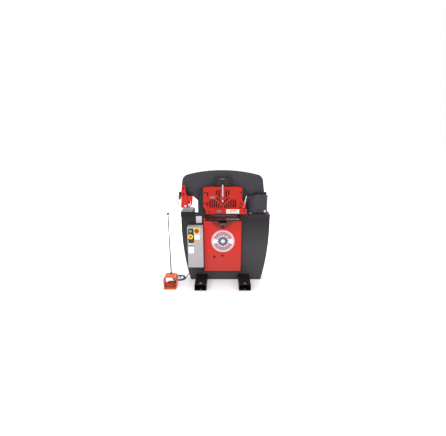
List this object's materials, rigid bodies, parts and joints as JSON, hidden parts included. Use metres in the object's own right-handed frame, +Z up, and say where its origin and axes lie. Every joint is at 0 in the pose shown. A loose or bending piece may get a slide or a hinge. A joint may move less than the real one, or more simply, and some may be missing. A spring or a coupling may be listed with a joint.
{
  "type": "ironworker machine",
  "caption": "Floor-standing hydraulic ironworker with a guided upper beam, punch, angle and flat shears, notcher, guards, electrical box and corded foot pedal",
  "frame": {"origin": "centre of the four floor anchor holes, at the floor", "axes": "+Z up, +X to the operator's right, +Y from the operator into the machine"},
  "size_m": [1.3584, 0.88, 1.4779],
  "materials": {
    "frame_paint": "satin",
    "column_paint": "satin",
    "guard_red": "gloss",
    "dark_red": "satin",
    "skid_black": "satin",
    "box_grey": "satin",
    "bright_steel": "satin",
    "zinc": "satin",
    "black_steel": "matte",
    "rod_chrome": "gloss",
    "bronze": "satin",
    "pedal_orange": "gloss",
    "black_plastic": "matte",
    "white_plastic": "matte",
    "green_plastic": "gloss",
    "red_plastic": "gloss",
    "clear_plastic": "gloss",
    "cord_rubber": "matte"
  },
  "bodies": {
    "frame": {"front_plate": "frame_paint", "rear_plate": "frame_paint", "frame_spacers": "frame_paint", "skids": "skid_black", "anchor_bushes": "zinc", "bronze_strips": "bronze", "guide_bracket": "column_paint", "cylinder_base": "frame_paint", "cylinder_barrel": "black_steel", "lower_angle_blade": "bright_steel", "lower_flat_blade": "bright_steel", "shear_guard": "guard_red", "guard_bolts": "black_steel", "shear_table": "black_steel", "table_bracket": "dark_red", "table_clamp": "black_steel", "front_door": "guard_red", "rear_cover": "frame_paint", "oil_tank": "frame_paint", "motor": "frame_paint", "valve_block": "bright_steel", "oil_pipes": "cord_rubber", "electrical_box": "box_grey", "contactor": "white_plastic", "die_table": "frame_paint", "die_holder": "bright_steel", "die": "bright_steel", "notcher_table": "frame_paint", "notcher_die": "bright_steel", "notcher_guard": "frame_paint", "pedal_shell": "pedal_orange", "treadle_pin": "black_steel", "pedal_switch": "black_plastic", "carrying_rod": "bright_steel", "ball_knob": "black_plastic", "cord_glands": "black_plastic", "pedal_cord": "cord_rubber"},
    "beam": {"upper_beam": "frame_paint", "guide_key": "bright_steel", "cylinder_rod": "rod_chrome", "punch_ram": "bright_steel", "coupling_nut": "black_steel", "punch": "bright_steel", "upper_angle_blade": "bright_steel", "upper_flat_blade": "bright_steel", "notcher_blade": "bright_steel", "end_brackets": "black_steel", "side_shield": "clear_plastic", "guard_studs": "black_steel"},
    "punch_guard": {"punch_guard": "guard_red"},
    "guard_shroud": {"guard_shroud": "guard_red"},
    "angle_screw": {"angle_screw": "bright_steel"},
    "hold_down_bar": {"hold_down_bar": "guard_red"},
    "hold_down_lever": {"hold_down_lever": "bright_steel"},
    "box_door": {"box_door": "box_grey", "control_plate": "black_plastic"},
    "start_button": {"start_button": "green_plastic"},
    "stop_button": {"stop_button": "red_plastic"},
    "disconnect_knob": {"disconnect_knob": "red_plastic"},
    "treadle": {"treadle": "pedal_orange"}
  },
  "joints": [
    {"name": "beam_stroke", "type": "slide", "parent": "frame", "child": "beam", "axis": [0, 0, -1], "range_m": [0, 0.032]},
    {"name": "punch_guard_height", "type": "slide", "parent": "beam", "child": "punch_guard", "axis": [0, 0, 1], "range_m": [0, 0.018]},
    {"name": "guard_shroud_swing", "type": "hinge", "parent": "punch_guard", "child": "guard_shroud", "pos_m": [-0.4407, -0.202, 1.09], "axis": [0, 0, -1], "range_deg": [0, 100]},
    {"name": "angle_screw_feed", "type": "slide", "parent": "frame", "child": "angle_screw", "axis": [0, 0, 1], "range_m": [-0.01, 0.04]},
    {"name": "hold_lever_turn", "type": "hinge", "parent": "frame", "child": "hold_down_lever", "pos_m": [0.262, -0.235, 1.042], "axis": [0, 1, 0], "range_deg": [0, 60]},
    {"name": "hold_down_slide", "type": "slide", "parent": "frame", "child": "hold_down_bar", "axis": [0, 0, -1], "range_m": [0, 0.018]},
    {"name": "box_door_swing", "type": "hinge", "parent": "frame", "child": "box_door", "pos_m": [-0.4503, -0.264, 0.5], "axis": [0, 0, -1], "range_deg": [0, 110]},
    {"name": "start_press", "type": "slide", "parent": "box_door", "child": "start_button", "axis": [0, 1, 0], "range_m": [0, 0.004], "stiffness_N_per_m": 800},
    {"name": "stop_press", "type": "slide", "parent": "box_door", "child": "stop_button", "axis": [0, 1, 0], "range_m": [0, 0.004], "stiffness_N_per_m": 1500},
    {"name": "disconnect_turn", "type": "hinge", "parent": "box_door", "child": "disconnect_knob", "pos_m": [-0.32603, -0.28, 0.73895], "axis": [0, 1, 0], "range_deg": [0, 90]},
    {"name": "treadle_press", "type": "hinge", "parent": "frame", "child": "treadle", "pos_m": [-0.671, -0.372, 0.028], "axis": [-1, 0, 0], "range_deg": [0, 8], "stiffness_Nm_per_rad": 40, "springref_deg": -2.86}
  ],
  "couplings": [
    {"joint": "hold_down_slide", "follows": "hold_lever_turn", "m_per_rad": 0.017189}
  ]
}
